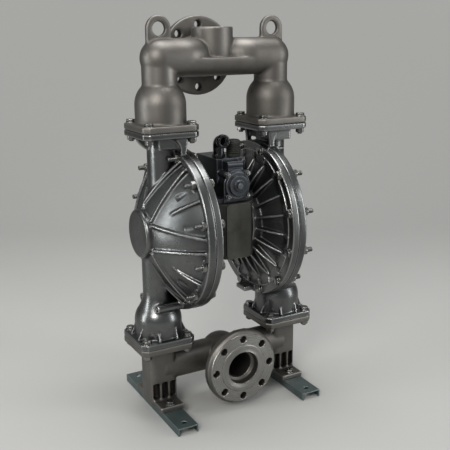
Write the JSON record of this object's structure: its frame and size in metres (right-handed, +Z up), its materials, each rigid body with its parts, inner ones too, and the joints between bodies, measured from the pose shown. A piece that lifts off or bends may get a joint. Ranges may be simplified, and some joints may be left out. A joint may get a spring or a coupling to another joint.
{
  "type": "air operated diaphragm pump",
  "caption": "Air operated double diaphragm pump with ribbed fluid caps, finned air chambers, ball check valves, flanged manifolds, lifting lugs and channel feet.",
  "frame": {"origin": "bottom centre between the base rails, on the floor under the middle of the pump", "axes": "+X along the diaphragm rod to the right-hand fluid cap, +Y from the front with its inlet flange to the rear, +Z up"},
  "size_m": [0.4906, 0.398, 0.966],
  "materials": {
    "manifold_steel": "bead-blasted stainless casting, satin",
    "cap_steel": "polished stainless casting",
    "chamber_steel": "cast, semi-gloss",
    "centre_alloy": "coated casting, dull olive grey",
    "valve_alloy": "cast, blue-grey",
    "rod_steel": "ground and polished",
    "plate_steel": "machined",
    "fastener_steel": "bright stainless",
    "elbow_steel": "dark, satin",
    "rail_zinc": "zinc plated, blue passivated",
    "bush_bronze": "machined",
    "seal_rubber": "moulded",
    "sheet_rubber": "moulded, fabric backed",
    "ball_rubber": "ground",
    "muffler_plastic": "porous moulding"
  },
  "bodies": {
    "pump": {"base_rail_left": "rail_zinc", "base_rail_right": "rail_zinc", "inlet_manifold": "manifold_steel", "outlet_manifold": "manifold_steel", "fluid_cap_right": "cap_steel", "air_chamber_right": "chamber_steel", "rod_bush_right": "bush_bronze", "rod_seal_right": "seal_rubber", "valve_seat_lower_right": "plate_steel", "valve_seat_upper_right": "plate_steel", "ring_bolts_right": "fastener_steel", "ring_nuts_right": "fastener_steel", "fluid_cap_left": "cap_steel", "air_chamber_left": "chamber_steel", "rod_bush_left": "bush_bronze", "rod_seal_left": "seal_rubber", "valve_seat_lower_left": "plate_steel", "valve_seat_upper_left": "plate_steel", "ring_bolts_left": "fastener_steel", "ring_nuts_left": "fastener_steel", "centre_body": "centre_alloy", "centre_cover_front": "centre_alloy", "centre_cover_rear": "centre_alloy", "flange_seals_lower": "seal_rubber", "flange_seals_upper": "seal_rubber", "air_valve_gasket": "seal_rubber", "air_valve_body": "valve_alloy", "air_valve_cap_front": "valve_alloy", "air_valve_cap_rear": "valve_alloy", "air_valve_screws": "fastener_steel", "upper_joint_bolts": "fastener_steel", "upper_joint_nuts": "fastener_steel", "lower_joint_bolts": "fastener_steel", "lower_joint_nuts": "fastener_steel", "foot_bolts": "fastener_steel", "foot_nuts": "fastener_steel", "air_inlet_elbow": "elbow_steel", "exhaust_muffler": "muffler_plastic"},
    "core": {"diaphragm_rod": "rod_steel", "inner_plate_right": "plate_steel", "inner_plate_left": "plate_steel", "outer_plate_right": "plate_steel", "outer_plate_left": "plate_steel", "diaphragm_right": "sheet_rubber", "diaphragm_left": "sheet_rubber"},
    "pilot": {"pilot_rod": "rod_steel"},
    "spool": {"air_valve_spool": "rod_steel"},
    "ball_lower_right": {"valve_ball_lower_right": "ball_rubber"},
    "ball_lower_left": {"valve_ball_lower_left": "ball_rubber"},
    "ball_upper_right": {"valve_ball_upper_right": "ball_rubber"},
    "ball_upper_left": {"valve_ball_upper_left": "ball_rubber"}
  },
  "joints": [
    {"name": "diaphragm_stroke", "type": "slide", "parent": "pump", "child": "core", "axis": [1, 0, 0], "range_m": [-0.028, 0.028], "deforming": ["diaphragm_right", "diaphragm_left"]},
    {"name": "pilot_shift", "type": "slide", "parent": "pump", "child": "pilot", "axis": [1, 0, 0], "range_m": [-0.006, 0.006]},
    {"name": "spool_shift", "type": "slide", "parent": "pump", "child": "spool", "axis": [0, 1, 0], "range_m": [-0.012, 0.012]},
    {"name": "ball_lower_right_lift", "type": "slide", "parent": "pump", "child": "ball_lower_right", "axis": [0, 0, 1], "range_m": [0, 0.02]},
    {"name": "ball_lower_left_lift", "type": "slide", "parent": "pump", "child": "ball_lower_left", "axis": [0, 0, 1], "range_m": [0, 0.02]},
    {"name": "ball_upper_right_lift", "type": "slide", "parent": "pump", "child": "ball_upper_right", "axis": [0, 0, 1], "range_m": [0, 0.02]},
    {"name": "ball_upper_left_lift", "type": "slide", "parent": "pump", "child": "ball_upper_left", "axis": [0, 0, 1], "range_m": [0, 0.02]}
  ],
  "couplings": [
    {"joint": "pilot_shift", "follows": "diaphragm_stroke", "ratio": 0.2142}
  ]
}
